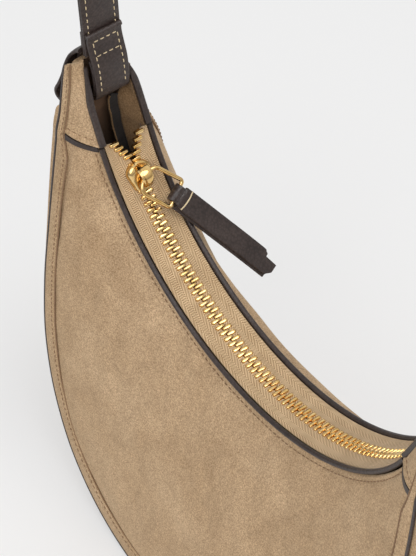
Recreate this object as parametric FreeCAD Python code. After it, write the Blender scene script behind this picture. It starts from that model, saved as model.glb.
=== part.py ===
import FreeCAD, Part
import math
import os

# Half moon shoulder bag: two curved panels between a round zip line and a gusset,
# pointed horns at both ends, and one shoulder strap looped through the horns' end walls.
# Frame: X along the bag, front towards -Y, Z up, origin on the floor under the middle.

V = FreeCAD.Vector

# Zip line: an arc in the XZ plane, so the slider turns about the arc's centre
ZIP_RADIUS = 107.2
RIM_HEIGHT = 150.0
SEAM_ANGLE = 68.8
RIM_Y = 12.6
PIPING_RADIUS = 1.8
ARC_Z = RIM_HEIGHT + ZIP_RADIUS

# Wall thicknesses and seating gaps
PANEL_THICKNESS = 2.2
LINING_THICKNESS = 1.0
GUSSET_THICKNESS = 2.2
BOARD_THICKNESS = 2.0
SEAT = 0.1
GAP = 0.3

# Overall body: horn width beyond the rim's end, swell of the sides, half depths
HORN_WIDTH = 17.05
SIDE_SWELL = 4.5
BASE_HALF_DEPTH = 54.0
SEAM_HALF_DEPTH = 22.3
EDGE_LIFT = 1.2
WALL_X = ZIP_RADIUS * math.sin(math.radians(SEAM_ANGLE)) + HORN_WIDTH
HALF_LENGTH = WALL_X + SIDE_SWELL

# Outer edge of the panels, middle of the base to the seam: shares of the half length,
# of the height up to the arc's centre, and of the step from seam depth to base depth
EDGE_SHARES = [
    (0.0, 0.0, 1.0),
    (0.173, 0.0, 0.997),
    (0.346, 0.001, 0.984),
    (0.609, 0.040, 0.924),
    (0.782, 0.101, 0.842),
    (0.905, 0.198, 0.748),
    (0.984, 0.339, 0.621),
    (1.0, 0.495, 0.464),
    (0.996, 0.640, 0.268),
    (0.984, 0.757, 0.120),
    (0.966, 0.866, 0.0),
]
BASE_SHARE = 0.346
# Where the panel's fullest bend sits between the rim and the outer edge
BEND_R_SHARE = 0.45
BEND_Y_SHARE = 0.93
CURVE_SHARES = [0.0, 0.2, 0.4, 0.6, 0.8, 1.0]
ROUND_SIDES = 8

# Shoulder strap and the loop that holds each end
STRAP_WIDTH = 18.0
STRAP_LAYER_THICKNESS = 1.15
STRAP_INSET = 4.6
STRAP_LEG_HEIGHT = 90.0
PIN_RADIUS = 1.5
LOOP_MARGIN = 0.5
LOOP_THICKNESS = 1.6
LOOP_LAP_HEIGHT = 5.8
LOOP_STEP_HEIGHT = 1.3
LOOP_LEAN = 3.4
LOOP_KNEE_HEIGHT = 2.0
LOOP_FOOT_HEIGHT = 7.0
LOOP_DROP = 21.0
STRAP_X = WALL_X - STRAP_INSET
PIVOT_Z = ARC_Z + STRAP_WIDTH / 2
LOOP_WIDTH = STRAP_WIDTH - 2 * LOOP_MARGIN
LOOP_TOP_Z = PIVOT_Z + LOOP_LAP_HEIGHT
LOOP_STEP_Z = ARC_Z + LOOP_STEP_HEIGHT
LOOP_LOW_Z = ARC_Z - LOOP_DROP
LOOP_OUT_X = WALL_X + 2 * GAP + LOOP_THICKNESS

# Horn: from the seam to its tip; shares of the way up, and of the rim's end to the end wall
HORN_SHARES = [
    (0.0, 0.0),
    (0.25, 0.23),
    (0.49, 0.42),
    (0.675, 0.44),
    (0.84, 0.485),
    (1.0, 0.555),
]
HORN_GAP_ANGLE = 0.3
HORN_FOOT_ANGLE = SEAM_ANGLE + HORN_GAP_ANGLE
HORN_TIP_RISE = 3.3
HORN_TIP_DROP = 3.3
HORN_THICKNESS = 2.0
HORN_FLARE = 2.4
BINDING_HEIGHT = 2.4
BINDING_LAP = 0.5
BINDING_RISE = 1.4
HORN_FOOT_Y = RIM_Y + GAP
HORN_TIP_Y = LOOP_WIDTH / 2 + HORN_THICKNESS + 2 * GAP

# Border strip on the outer edge and its dark painted edge
STRIP_WIDTH = 6.0
STRIP_THICKNESS = 1.4
EDGE_PAINT_THICKNESS = 0.9

# Flat base with a board set in from its sides
BOARD_INSET_X = 3.6
BOARD_INSET_Y = 6.9
BASE_X = BASE_SHARE * HALF_LENGTH - GAP
BASE_Y = BASE_HALF_DEPTH - PANEL_THICKNESS - 3 * GAP

# Inside pocket on the back lining
POCKET_ANGLE = 19.0
POCKET_SHARES = [0.4, 0.6, 0.8]

# Zip teeth, tape and stop
TOOTH_PITCH = 3.2
TOOTH_LENGTH = 1.3
TOOTH_ROOT_SHARE = 0.7
TOOTH_OUT_Y = 3.8
TOOTH_LAP_Y = 0.9
TOOTH_THICKNESS = 2.6
TAPE_THICKNESS = 0.7
TAPE_STEP_ANGLE = 4.0
CLOSED_ANGLE = -62.5
CHAIN_END_ANGLE = 63.5
OPEN_TEETH = 4
OPEN_STEP_SHARE = 0.84
STOP_LENGTH = 3.0
STOP_MARGIN = 0.8
STOP_PLATE = 0.3
TAPE_OUT_Y = RIM_Y - PIPING_RADIUS - GAP
TAPE_IN_Y = TOOTH_OUT_Y + SEAT
TAPE_END_Y = TAPE_OUT_Y - GAP

# Slider, at its place near the left end of the zip
SLIDER_ANGLE = -58.6
SLIDER_LENGTH = 13.6
SLIDER_SIDE_WIDTH = 2.1
SLIDER_NOSE_WIDTH = 1.0
SLIDER_PLATE_THICKNESS = 1.5
RUN_CLEARANCE = 0.4
BRIDGE_WIDTH = 2.8
BRIDGE_LENGTH = 11.0
BRIDGE_THICKNESS = 1.4
CHANNEL_THICKNESS = TOOTH_THICKNESS + 2 * RUN_CLEARANCE
CHANNEL_Y = TOOTH_OUT_Y + RUN_CLEARANCE
SLOT_THICKNESS = TAPE_THICKNESS + 2 * GAP
SLIDER_THICKNESS = CHANNEL_THICKNESS + 2 * SLIDER_PLATE_THICKNESS
SLIDER_Y = CHANNEL_Y + SLIDER_SIDE_WIDTH
SLIDER_NOSE_Y = CHANNEL_Y + SLIDER_NOSE_WIDTH

# Ring and leather pull tab, turned towards the back of the bag
PULL_YAW_ANGLE = 39.0
PULL_TILT_ANGLE = 4.5
WIRE_RADIUS = 0.95
RING_WIDTH = 13.1
RING_LENGTH = 16.6
RING_CORNER_RADIUS = 1.5
RING_NEAR_RADIUS = 4.2
BEND_STEPS = 3
BAR_CLEARANCE = 1.6
BAR_OFFSET = 0.9
TAB_LENGTH = 57.0
TAB_SKEW_ANGLE = 9.0
TAB_LAYER_THICKNESS = 1.3
TAB_NOTCH_LENGTH = 4.0
BAR_Z = SLIDER_THICKNESS / 2 + WIRE_RADIUS + BAR_CLEARANCE
BRIDGE_HEIGHT = 2 * WIRE_RADIUS + 2 * BAR_CLEARANCE + BRIDGE_THICKNESS
TAB_WIDTH = RING_WIDTH - 2 * WIRE_RADIUS - 4 * GAP
TAB_LOOP_RADIUS = WIRE_RADIUS + GAP + TAB_LAYER_THICKNESS


def arc_point(angle, r, y):
    turn = math.radians(angle)
    return V(r * math.sin(turn), y, ARC_Z - r * math.cos(turn))


# A row is one cross-section of a wall: rim end (x, z, y), then outer end (x, z, y)
def panel_rows():
    outer = []
    for along, up, deep in EDGE_SHARES:
        z = EDGE_LIFT + up * (ARC_Z - EDGE_LIFT)
        y = SEAM_HALF_DEPTH + deep * (BASE_HALF_DEPTH - SEAM_HALF_DEPTH)
        outer.append((along * HALF_LENGTH, z, y))
    spread = SEAM_ANGLE / edge_angle(outer[-1])
    half = []
    for end in outer:
        rim = arc_point(spread * edge_angle(end), ZIP_RADIUS + PIPING_RADIUS + 2 * GAP, 0)
        half.append((rim.x, rim.z, RIM_Y + PIPING_RADIUS / 2) + end)
    return left_rows(half[1:]) + half


def edge_angle(end):
    return math.degrees(math.atan2(end[0], ARC_Z - end[1]))


def left_rows(rows):
    return [(-x0, z0, y0, -x1, z1, y1) for x0, z0, y0, x1, z1, y1 in rows[::-1]]


def horn_rows():
    seam_x, seam_z, seam_y = panel_rows()[-1][3:]
    foot = arc_point(HORN_FOOT_ANGLE, ZIP_RADIUS, 0)
    foot_z = seam_z + 2 * GAP
    rows = []
    for up, inward in HORN_SHARES:
        x0 = foot.x + inward * (WALL_X - foot.x)
        z0 = foot.z + up * (ARC_Z + HORN_TIP_RISE - foot.z)
        y0 = HORN_FOOT_Y + up * (HORN_TIP_Y - HORN_FOOT_Y)
        x1 = WALL_X if up > 0 else seam_x
        z1 = foot_z + up * (ARC_Z - HORN_TIP_DROP - foot_z)
        y1 = seam_y + up * (HORN_TIP_Y + HORN_FLARE - seam_y)
        rows.append((x0, z0, y0, x1, z1, y1))
    return rows


def row_length(row):
    return math.hypot(row[3] - row[0], row[4] - row[1])


def row_point(row, along, y):
    share = along / row_length(row)
    return V(row[0] + share * (row[3] - row[0]), y, row[1] + share * (row[4] - row[1]))


def row_quad(row, corners):
    return [row_point(row, along, y) for along, y in corners]


def wall_point(row, share, inset):
    # A point on the panel's bend between the rim and the outer edge, inset towards the middle
    a = (1 - share) ** 2
    b = 2 * share * (1 - share)
    c = share ** 2
    bend = row[2] + BEND_Y_SHARE * (row[5] - row[2])
    y = a * row[2] + b * bend + c * row[5] - inset
    return row_point(row, (b * BEND_R_SHARE + c) * row_length(row), y)


def share_at(row, above):
    # Share of the bend that lies a given distance short of the outer edge
    part = 1 - above / row_length(row)
    k = 2 * BEND_R_SHARE
    return (math.sqrt(k * k + 4 * (1 - k) * part) - k) / (2 * (1 - k))


def curve(points):
    spline = Part.BSplineCurve()
    spline.interpolate(points)
    return spline.toShape()


def wall_section(row, inset, thickness, shares):
    outer = [wall_point(row, s, inset) for s in shares]
    inner = [wall_point(row, s, inset + thickness) for s in shares]
    if inset > 0:
        return closed(outer + inner[::-1])
    edges = [
        curve(outer),
        Part.makeLine(outer[-1], inner[-1]),
        curve(inner[::-1]),
        Part.makeLine(inner[0], outer[0]),
    ]
    return Part.Wire(edges)


def quad(angle, corners):
    return [arc_point(angle, r, y) for r, y in corners]


def closed(points):
    return Part.makePolygon(points + [points[0]])


def round_section(radius):
    turns = [2 * math.pi * (i + 0.5) / ROUND_SIDES for i in range(ROUND_SIDES)]
    return [(radius * math.cos(t), radius * math.sin(t)) for t in turns]


def loft(sections):
    return Part.makeLoft(sections, True, True)


def bar(sections):
    # A bar through matching corners of its sections
    faces = [Part.Face(closed(sections[0])), Part.Face(closed(sections[-1]))]
    for a, b in zip(sections, sections[1:]):
        for k in range(len(a)):
            near = Part.makeLine(a[k - 1], a[k])
            far = Part.makeLine(b[k - 1], b[k])
            faces.append(Part.makeRuledSurface(near, far))
    shell = Part.makeShell(faces)
    shell.sewShape()
    solid = Part.makeSolid(shell)
    if solid.Volume < 0:
        solid.reverse()
    return solid


def front_of(shape):
    return shape.mirror(V(0, 0, 0), V(0, 1, 0))


def left_of(shape):
    return shape.mirror(V(0, 0, 0), V(1, 0, 0))


def on_arc(shape, angle):
    turned = shape.copy()
    turned.rotate(V(0, 0, ARC_Z), V(0, -1, 0), angle)
    return turned


def save(shape, node):
    shape.exportStep("parts/" + node + ".step")


def save_front_back(shape, node):
    save(shape, "back_" + node)
    save(front_of(shape), "front_" + node)


def save_four(shape, node):
    save(shape, "back_right_" + node)
    save(front_of(shape), "front_right_" + node)
    save(left_of(shape), "back_left_" + node)
    save(left_of(front_of(shape)), "front_left_" + node)


# Panels and linings: one bent sheet each from the rim down to the outer edge
def make_panels():
    rows = panel_rows()
    save_front_back(loft([wall_section(r, 0, PANEL_THICKNESS, CURVE_SHARES) for r in rows]), "panel")
    inset = PANEL_THICKNESS + GAP
    sheet = []
    pocket = []
    for row in rows:
        end = share_at(row, GUSSET_THICKNESS + BOARD_THICKNESS + GAP)
        sheet.append(wall_section(row, inset, LINING_THICKNESS, [end * s for s in CURVE_SHARES]))
        if abs(edge_angle(row[3:])) < POCKET_ANGLE:
            deeper = inset + LINING_THICKNESS + GAP
            pocket.append(wall_section(row, deeper, LINING_THICKNESS, [end * s for s in POCKET_SHARES]))
    save_front_back(loft(sheet), "lining")
    save(loft(pocket), "inner_pocket")


# Gusset between the panels, flat base with a stiffening board above it
def make_gusset():
    base = Part.makeBox(2 * BASE_X, 2 * BASE_Y, GUSSET_THICKNESS, V(-BASE_X, -BASE_Y, 0))
    save(base, "base_panel")
    x = BASE_X - BOARD_INSET_X
    y = BASE_Y - BOARD_INSET_Y
    save(Part.makeBox(2 * x, 2 * y, BOARD_THICKNESS, V(-x, -y, GUSSET_THICKNESS + SEAT)), "base_board")
    sections = []
    for row in panel_rows():
        if row[3] > BASE_X:
            in_y = row[5] - PANEL_THICKNESS - GAP
            far = row_length(row)
            near = far - GUSSET_THICKNESS
            sections.append(row_quad(row, [(far, -in_y), (far, in_y), (near, in_y), (near, -in_y)]))
    gusset = bar(sections)
    save(gusset, "right_gusset")
    save(left_of(gusset), "left_gusset")


def make_horns():
    rows = horn_rows()
    save_four(loft([wall_section(r, 0, HORN_THICKNESS, CURVE_SHARES) for r in rows]), "horn")
    wall = []
    binding = []
    for i, row in enumerate(rows):
        in_y = row[5] - HORN_THICKNESS - 3 * GAP
        far = row_length(row)
        near = far - GUSSET_THICKNESS
        wall.append(row_quad(row, [(far, -in_y), (far, in_y), (near, in_y - GAP), (near, GAP - in_y)]))
        # The binding starts clear of the rim piping's end
        rise = BINDING_RISE if i == 0 else 0
        row = (row[0], row[1] + rise, row[2], row[3], row[4] + rise, row[5])
        low = row[2] - HORN_THICKNESS - BINDING_LAP
        high = row[2] + BINDING_LAP
        top = -SEAT - BINDING_HEIGHT
        binding.append(row_quad(row, [(-SEAT, low), (-SEAT, high), (top, high), (top, low)]))
    save_four(bar(binding), "horn_binding")
    # The strap's loop passes through a slot in the end wall
    slot_z = LOOP_THICKNESS + 2 * GAP
    slot_x = 4 * GUSSET_THICKNESS
    slot_y = LOOP_WIDTH + 2 * GAP
    slot = Part.makeBox(slot_x, slot_y, slot_z, V(WALL_X - slot_x / 2, -slot_y / 2, LOOP_LOW_Z - GAP))
    end_wall = bar(wall).cut(slot)
    save(end_wall, "right_end_wall")
    save(left_of(end_wall), "left_end_wall")


# Border strip and dark edge, running from horn tip to horn tip
def make_edges():
    right = horn_rows()
    runs = [edge_run(rows) for rows in (left_rows(right), panel_rows(), right)]
    save_front_back(Part.makeCompound([run[0] for run in runs]), "edge_strip")
    save_front_back(Part.makeCompound([run[1] for run in runs]), "edge_binding")


def edge_run(rows):
    strip = []
    paint = []
    for row in rows:
        far = row_length(row)
        width = min(STRIP_WIDTH, far / 2)
        slope = (1 - BEND_Y_SHARE) * (row[5] - row[2]) / ((1 - BEND_R_SHARE) * far)
        top = row[5] - slope * width
        corners = [
            (far - width, top + SEAT),
            (far, row[5] + SEAT),
            (far, row[5] + STRIP_THICKNESS),
            (far - width, top + STRIP_THICKNESS),
        ]
        strip.append(row_quad(row, corners))
        low = far + SEAT
        high = low + EDGE_PAINT_THICKNESS
        bottom = row[5] - HORN_THICKNESS
        top = row[5] + STRIP_THICKNESS
        paint.append(row_quad(row, [(low, bottom), (high, bottom), (high, top), (low, top)]))
    return bar(strip), bar(paint)


def make_piping():
    corners = [(ZIP_RADIUS + u, RIM_Y + v) for u, v in round_section(PIPING_RADIUS)]
    face = Part.Face(closed(quad(-SEAM_ANGLE, corners)))
    save_front_back(face.revolve(V(0, 0, ARC_Z), V(0, -1, 0), 2 * SEAM_ANGLE), "rim_piping")


def tape_inner_y(angle):
    if angle > CLOSED_ANGLE:
        return TAPE_IN_Y
    share = (CLOSED_ANGLE - angle) / (CLOSED_ANGLE + SEAM_ANGLE)
    return TAPE_IN_Y + share * (TAPE_END_Y - TAPE_IN_Y)


# Zip tape on each side; it narrows where the open end of the zip spreads to the rims
def make_tape():
    angles = [-SEAM_ANGLE, CLOSED_ANGLE]
    while angles[-1] + TAPE_STEP_ANGLE < SEAM_ANGLE:
        angles.append(angles[-1] + TAPE_STEP_ANGLE)
    angles.append(SEAM_ANGLE)
    low = ZIP_RADIUS - TAPE_THICKNESS / 2
    high = ZIP_RADIUS + TAPE_THICKNESS / 2
    sections = []
    for angle in angles:
        y = tape_inner_y(angle)
        sections.append(quad(angle, [(low, y), (high, y), (high, TAPE_OUT_Y), (low, TAPE_OUT_Y)]))
    tape = bar(sections)
    save(tape, "zip_tape_back")
    save(front_of(tape), "zip_tape_front")


def tooth(angle, y_shift):
    # Seen from above: a waisted bar with a fuller head at the meshing end
    tip = y_shift - TOOTH_LAP_Y
    root = y_shift + TOOTH_OUT_Y
    head = TOOTH_LENGTH / 2
    waist = TOOTH_ROOT_SHARE * head
    z = ARC_Z - ZIP_RADIUS - TOOTH_THICKNESS / 2
    plan = [(-waist, tip), (waist, tip), (head, y_shift), (waist, root), (-waist, root), (-head, y_shift)]
    corners = [V(x, y, z) for x, y in plan]
    bar = Part.Face(closed(corners)).extrude(V(0, 0, TOOTH_THICKNESS))
    return on_arc(bar, angle)


# Meshed teeth as far as the slider, then a few that spread with the open tape
def make_teeth():
    step = math.degrees(TOOTH_PITCH / ZIP_RADIUS)
    for node, side, shift in (("zip_teeth_back", 1, 0.0), ("zip_teeth_front", -1, 0.5)):
        teeth = []
        angle = CLOSED_ANGLE + shift * step
        while angle < CHAIN_END_ANGLE:
            teeth.append(tooth(angle, 0))
            angle = angle + step
        for i in range(OPEN_TEETH):
            angle = CLOSED_ANGLE - (i + 1) * OPEN_STEP_SHARE * step
            teeth.append(tooth(angle, tape_inner_y(angle) - TOOTH_OUT_Y - 2 * GAP))
        row = Part.makeCompound(teeth)
        save(row if side > 0 else front_of(row), node)
    stop_y = TOOTH_OUT_Y + STOP_MARGIN
    stop_t = TOOTH_THICKNESS + 2 * STOP_PLATE
    stop = Part.makeBox(STOP_LENGTH, 2 * stop_y, stop_t, V(0, -stop_y, ARC_Z - ZIP_RADIUS - stop_t / 2))
    slot_z = ARC_Z - ZIP_RADIUS - SLOT_THICKNESS / 2
    slot = Part.makeBox(STOP_LENGTH, stop_y, SLOT_THICKNESS, V(0, TAPE_IN_Y - SEAT, slot_z))
    stop = stop.cut(slot).cut(front_of(slot))
    save(on_arc(stop, CHAIN_END_ANGLE + step / 2), "zip_bottom_stop")


# Slider: upper and lower shells with a channel for the chain and slots for the tape
def make_slider():
    half = math.degrees(SLIDER_LENGTH / 2 / ZIP_RADIUS)
    mid = ARC_Z - ZIP_RADIUS
    shell = [
        (-SLIDER_Y, SLOT_THICKNESS / 2),
        (-SLIDER_Y, SLIDER_THICKNESS / 2),
        (SLIDER_Y, SLIDER_THICKNESS / 2),
        (SLIDER_Y, SLOT_THICKNESS / 2),
        (CHANNEL_Y, SLOT_THICKNESS / 2),
        (CHANNEL_Y, CHANNEL_THICKNESS / 2),
        (-CHANNEL_Y, CHANNEL_THICKNESS / 2),
        (-CHANNEL_Y, SLOT_THICKNESS / 2),
    ]
    nose = SLIDER_LENGTH / 2
    outline = Part.makePolygon([
        V(-nose, -SLIDER_Y, 0),
        V(0, -SLIDER_Y, 0),
        V(nose, -SLIDER_NOSE_Y, 0),
        V(nose, SLIDER_NOSE_Y, 0),
        V(0, SLIDER_Y, 0),
        V(-nose, SLIDER_Y, 0),
        V(-nose, -SLIDER_Y, 0),
    ])
    plan = Part.Face(outline).extrude(V(0, 0, 2 * SLIDER_THICKNESS))
    plan.translate(V(0, 0, mid - SLIDER_THICKNESS))
    halves = []
    for up in (1, -1):
        points = [V(0, y, mid + up * z) for y, z in shell]
        face = Part.Face(closed(points))
        face.rotate(V(0, 0, ARC_Z), V(0, -1, 0), -half)
        halves.append(face.revolve(V(0, 0, ARC_Z), V(0, -1, 0), 2 * half).common(plan))
    bridge = bridge_shape(BRIDGE_LENGTH, BRIDGE_HEIGHT)
    hole = bridge_shape(BRIDGE_LENGTH - 2 * BRIDGE_THICKNESS, BRIDGE_HEIGHT - BRIDGE_THICKNESS)
    crown = halves[0].fuse(bridge.cut(hole)).removeSplitter()
    save(on_arc(crown, SLIDER_ANGLE), "slider_body")
    save(on_arc(halves[1], SLIDER_ANGLE), "slider_underplate")


def bridge_shape(length, rise):
    # An arch along the zip, with its feet set into the slider's crown
    top = ARC_Z - ZIP_RADIUS + SLIDER_THICKNESS / 2
    base_z = top - BRIDGE_THICKNESS
    arch = [V(-length / 2, 0, top), V(0, 0, top + rise), V(length / 2, 0, top)]
    edges = [
        Part.Arc(arch[0], arch[1], arch[2]).toShape(),
        Part.makeLine(arch[2], V(length / 2, 0, base_z)),
        Part.makeLine(V(length / 2, 0, base_z), V(-length / 2, 0, base_z)),
        Part.makeLine(V(-length / 2, 0, base_z), arch[0]),
    ]
    solid = Part.Face(Part.Wire(edges)).extrude(V(0, BRIDGE_WIDTH, 0))
    solid.translate(V(0, -BRIDGE_WIDTH / 2, 0))
    return solid


def place_pull(shape):
    # From flat along X with the near bar at the origin, to its place in the slider's bridge
    placed = shape.copy()
    placed.rotate(V(0, 0, 0), V(0, -1, 0), PULL_TILT_ANGLE)
    placed.rotate(V(0, 0, 0), V(0, 0, 1), PULL_YAW_ANGLE)
    placed.translate(V(BAR_OFFSET, 0, ARC_Z - ZIP_RADIUS + BAR_Z))
    return on_arc(placed, SLIDER_ANGLE)


def make_ring():
    # A wire stirrup: wide round corners beside the bridge, tight ones at the tab
    half = RING_WIDTH / 2
    near = RING_NEAR_RADIUS
    tight = RING_CORNER_RADIUS
    bends = [
        (V(near, near - half, 0), near, 180),
        (V(RING_LENGTH - tight, tight - half, 0), tight, 270),
        (V(RING_LENGTH - tight, half - tight, 0), tight, 0),
        (V(near, half - near, 0), near, 90),
    ]
    points = [V(0, 0, 0)]
    for centre, radius, first in bends:
        for step in range(BEND_STEPS + 1):
            turn = math.radians(first + 90 * step / BEND_STEPS)
            points.append(centre + V(radius * math.cos(turn), radius * math.sin(turn), 0))
    path = closed(points)
    section = [V(u, 0, v) for u, v in round_section(WIRE_RADIUS)]
    mitred = 1
    ring = path.makePipeShell([closed(section)], True, False, mitred)
    save(place_pull(ring), "pull_ring")


def make_tab():
    # A leather strip folded round the ring's far bar, a little askew, with a stepped free end
    side = -TAB_WIDTH / 2
    layer = TAB_LAYER_THICKNESS
    length = TAB_LENGTH - TAB_NOTCH_LENGTH
    strip = Part.makeBox(length, TAB_WIDTH, 2 * layer, V(0, side, -layer))
    tip = Part.makeBox(TAB_NOTCH_LENGTH, TAB_WIDTH / 2, layer, V(length, side, -layer))
    strip = strip.fuse(tip)
    strip.rotate(V(0, 0, 0), V(0, 0, -1), TAB_SKEW_ANGLE)
    loop = Part.makeCylinder(TAB_LOOP_RADIUS, TAB_WIDTH, V(0, side, 0), V(0, 1, 0))
    hole = Part.makeCylinder(WIRE_RADIUS + GAP, 2 * TAB_WIDTH, V(0, 2 * side, 0), V(0, 1, 0))
    tab = loop.fuse(strip).removeSplitter().cut(hole)
    tab.translate(V(RING_LENGTH, 0, 0))
    save(place_pull(tab), "pull_tab")


def strap_layer(x_in, x_out):
    # One strap layer: two straight sides joined by a half round, ends rounded about the pins
    top_z = PIVOT_Z + STRAP_LEG_HEIGHT
    low_y = -STRAP_WIDTH / 2
    arch = Part.makeCylinder(x_out, STRAP_WIDTH, V(0, low_y, top_z), V(0, 1, 0))
    arch = arch.cut(Part.makeCylinder(x_in, STRAP_WIDTH, V(0, low_y, top_z), V(0, 1, 0)))
    keep = Part.makeBox(2 * x_out, STRAP_WIDTH, x_out, V(-x_out, low_y, top_z))
    layer = arch.common(keep)
    thickness = x_out - x_in
    side = Part.makeBox(thickness, STRAP_WIDTH, STRAP_LEG_HEIGHT, V(x_in, low_y, PIVOT_Z))
    end = Part.makeCylinder(STRAP_WIDTH / 2, thickness, V(x_in, 0, PIVOT_Z), V(1, 0, 0))
    hole = Part.makeCylinder(PIN_RADIUS + GAP, thickness, V(x_in, 0, PIVOT_Z), V(1, 0, 0))
    leg = side.fuse(end).cut(hole)
    return layer.fuse([leg, left_of(leg)]).removeSplitter()


def make_strap():
    inner = STRAP_X - STRAP_LAYER_THICKNESS
    outer = STRAP_X + STRAP_LAYER_THICKNESS
    save(strap_layer(STRAP_X + SEAT / 2, outer), "strap_outer")
    save(strap_layer(inner, STRAP_X - SEAT / 2), "strap_backing")
    # The loop: up inside the horn, out through the slot and over the end wall's top
    inside = inner - GAP
    outside = outer + GAP
    knee_z = LOOP_TOP_Z - LOOP_KNEE_HEIGHT
    foot_z = LOOP_LOW_Z + LOOP_FOOT_HEIGHT
    lean = inside - LOOP_LEAN
    points = [
        (inside, LOOP_TOP_Z),
        (inside, knee_z),
        (lean, PIVOT_Z - STRAP_WIDTH / 2),
        (lean, foot_z),
        (inside, LOOP_LOW_Z + LOOP_THICKNESS),
        (LOOP_OUT_X - LOOP_THICKNESS, LOOP_LOW_Z + LOOP_THICKNESS),
        (LOOP_OUT_X - LOOP_THICKNESS, LOOP_STEP_Z),
        (outside, LOOP_STEP_Z),
        (outside, LOOP_TOP_Z),
        (outside + LOOP_THICKNESS, LOOP_TOP_Z),
        (outside + LOOP_THICKNESS, LOOP_STEP_Z + LOOP_THICKNESS),
        (LOOP_OUT_X, LOOP_STEP_Z + LOOP_THICKNESS),
        (LOOP_OUT_X, LOOP_LOW_Z),
        (inside - LOOP_THICKNESS / 2, LOOP_LOW_Z),
        (lean - LOOP_THICKNESS, foot_z - LOOP_THICKNESS / 2),
        (lean - LOOP_THICKNESS, PIVOT_Z - STRAP_WIDTH / 2),
        (inside - LOOP_THICKNESS, knee_z),
        (inside - LOOP_THICKNESS, LOOP_TOP_Z),
    ]
    corners = [V(x, -LOOP_WIDTH / 2, z) for x, z in points]
    loop = Part.Face(closed(corners)).extrude(V(0, LOOP_WIDTH, 0))
    pin = Part.makeCylinder(PIN_RADIUS, outside - inside, V(inside, 0, PIVOT_Z), V(1, 0, 0))
    save(loop, "right_strap_loop")
    save(left_of(loop), "left_strap_loop")
    save(pin, "right_strap_pin")
    save(left_of(pin), "left_strap_pin")


os.makedirs("parts", exist_ok=True)
make_panels()
make_gusset()
make_horns()
make_edges()
make_piping()
make_tape()
make_teeth()
make_slider()
make_ring()
make_tab()
make_strap()
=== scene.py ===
import math

import bmesh
import bpy
import numpy as np
from mathutils import Matrix, Vector, noise


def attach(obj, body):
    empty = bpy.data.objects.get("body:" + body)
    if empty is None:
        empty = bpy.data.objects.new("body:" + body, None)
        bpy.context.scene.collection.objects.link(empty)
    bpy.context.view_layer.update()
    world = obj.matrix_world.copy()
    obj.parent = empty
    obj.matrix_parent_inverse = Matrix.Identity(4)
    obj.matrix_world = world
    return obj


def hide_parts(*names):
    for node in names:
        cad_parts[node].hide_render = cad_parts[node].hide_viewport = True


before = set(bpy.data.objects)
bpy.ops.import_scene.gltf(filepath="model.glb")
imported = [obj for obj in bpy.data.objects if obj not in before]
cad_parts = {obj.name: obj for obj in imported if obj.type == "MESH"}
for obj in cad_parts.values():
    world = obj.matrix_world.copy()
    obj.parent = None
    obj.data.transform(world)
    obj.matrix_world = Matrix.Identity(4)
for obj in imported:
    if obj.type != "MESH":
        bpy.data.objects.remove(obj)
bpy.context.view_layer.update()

# Half moon bag: lengths are in millimetres and go to metres when a mesh is made
MM = 0.001
ALONG_Y = (0, 1, 0)
ALONG_Z = (0, 0, 1)
SIDES = (("front", -1), ("back", 1))
ENDS = (("left", -1), ("right", 1))

# Zip arc, rim and body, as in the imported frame
ZIP_RADIUS = 107.2
ARC_Z = 257.2
SEAM_ANGLE = 68.8
RIM_Y = 12.6
RIM_ANGLES = np.linspace(-SEAM_ANGLE, SEAM_ANGLE, 181)
PANEL_TOP_R = 109.0
PANEL_TOP_Y = 13.2
PANEL_THICK = 2.2
LINING_THICK = 1.0
GUSSET_THICK = 2.2
GAP = 0.3
WALL_X = 117.0
HALF_LENGTH = 121.5
BASE_HALF_DEPTH = 54.0
SEAM_HALF_DEPTH = 22.3
EDGE_LIFT = 1.2
# Outer edge from the middle of the base: shares of half length, height and depth
EDGE_SHARES = [
    (0.0, 0.0, 1.0), (0.173, 0.0, 0.997), (0.346, 0.001, 0.984), (0.609, 0.040, 0.924),
    (0.782, 0.101, 0.842), (0.905, 0.198, 0.748), (0.984, 0.339, 0.621), (1.0, 0.495, 0.464),
    (0.996, 0.640, 0.268), (0.984, 0.757, 0.120), (0.966, 0.866, 0.0),
]
BEND_R_SHARE = 0.45
BEND_Y_SHARE = 0.93
COLUMNS = 241
ROWS = 61

# Soft relief of the panels: height, distance from the rim or the outer edge, width
RIM_STITCH = 2.0
RIM_STITCH_LIFT = 0.2
RIM_DIP = (-0.5, RIM_STITCH, 1.0)
RIM_ROLL = (0.3, 0.9, 0.8)
STRIP_DIP = (-0.55, 7.2, 1.2)
BACK_BULGE = (3.6, 9.5, 6.5)
BACK_BULGE_X = (30.0, 84.0)

# Slow unevenness of soft material: height and size
PANEL_WAVES = (0.7, 34.0)
HORN_WAVES = (0.4, 20.0)
GUSSET_WAVES = (0.5, 26.0)

# Inside pocket, in columns to either side of the middle and in rows of the panel's grid
POCKET_COLUMNS = 26
POCKET_ROWS = (26, 50)
POCKET_HEM = (1.6, 3.0, 0.7)

# Horns: shares of the way up and inward, and half depth
HORN_SHARES = [
    (0.0, 0.0, 12.9), (0.25, 0.23, 12.8), (0.49, 0.42, 12.3),
    (0.675, 0.50, 11.2), (0.84, 0.62, 10.0), (1.0, 0.65, 9.7),
]
HORN_COLUMNS = 41
HORN_ROWS = 31
HORN_FOOT_ANGLE = 69.1
HORN_TIP_RISE = 2.2
HORN_TIP_DROP = 1.0
HORN_TIP_Y = 13.5
HORN_THICK = 2.0
HORN_HEIGHT = 36.0
HORN_STITCH = 2.6
HORN_DIP = (-0.35, HORN_STITCH, 0.8)
HORN_FOLD = (0.5, 0.9, 1.0)
HORN_ROLL = (0.3, 1.4, 1.0)
INNER_STITCH = 3.0
BINDING_BOX = (3.1, 2.7, 1.0, 4)
BINDING_PAST = 0.9
BINDING_START = 0.9
BINDING_SLIM = 0.45
BINDING_SLIM_Z = (240.0, 254.0)
BINDING_GROOVE = (0.16, 0.0, 0.35)
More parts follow.
